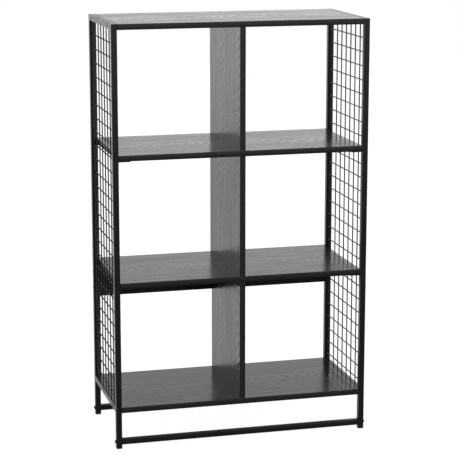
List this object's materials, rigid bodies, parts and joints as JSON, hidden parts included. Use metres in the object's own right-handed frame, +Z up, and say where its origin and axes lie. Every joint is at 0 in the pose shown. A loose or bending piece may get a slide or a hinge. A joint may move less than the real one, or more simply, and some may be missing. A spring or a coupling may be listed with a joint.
{
  "type": "open bookcase",
  "caption": "Open bookcase with black steel side frames, wire grille sides, wood-grain boards and central dividers.",
  "frame": {"origin": "on the floor under the middle of the bookcase", "axes": "+X to the right seen from the front, +Y to the rear, +Z up"},
  "size_m": [0.7294, 0.336, 1.176],
  "materials": {
    "frame_paint": "fine satin black powder coat",
    "wire_paint": "satin black powder coat",
    "board": "black wood-grain melamine on particle board",
    "edging": "black edge banding",
    "foot_plastic": "moulded black plastic",
    "bolt_black": "black zinc plate",
    "zinc": "bright zinc plate",
    "beech": "plain fluted beech, unfinished"
  },
  "bodies": {
    "root": {"left_front_post": "frame_paint", "left_rear_post": "frame_paint", "right_front_post": "frame_paint", "right_rear_post": "frame_paint", "left_top_rail": "frame_paint", "right_top_rail": "frame_paint", "left_bottom_rail": "frame_paint", "right_bottom_rail": "frame_paint", "front_stretcher": "frame_paint", "rear_stretcher": "frame_paint", "shelf_tabs": "frame_paint", "left_wire_grille": "wire_paint", "right_wire_grille": "wire_paint", "top_board": "board", "top_board_edging": "edging", "upper_shelf": "board", "upper_shelf_edging": "edging", "lower_shelf": "board", "lower_shelf_edging": "edging", "bottom_board": "board", "bottom_board_edging": "edging", "upper_divider": "board", "upper_divider_edging": "edging", "middle_divider": "board", "middle_divider_edging": "edging", "bottom_divider": "board", "bottom_divider_edging": "edging", "rear_panel": "board", "rear_panel_edging": "edging", "foot_plugs": "foot_plastic", "stretcher_plugs": "zinc", "stretcher_bolts": "bolt_black", "recessed_bolts": "bolt_black", "board_inserts": "zinc", "shelf_screws": "zinc", "cam_locks": "zinc", "cam_bolts": "zinc", "dowels": "beech"}
  },
  "joints": []
}
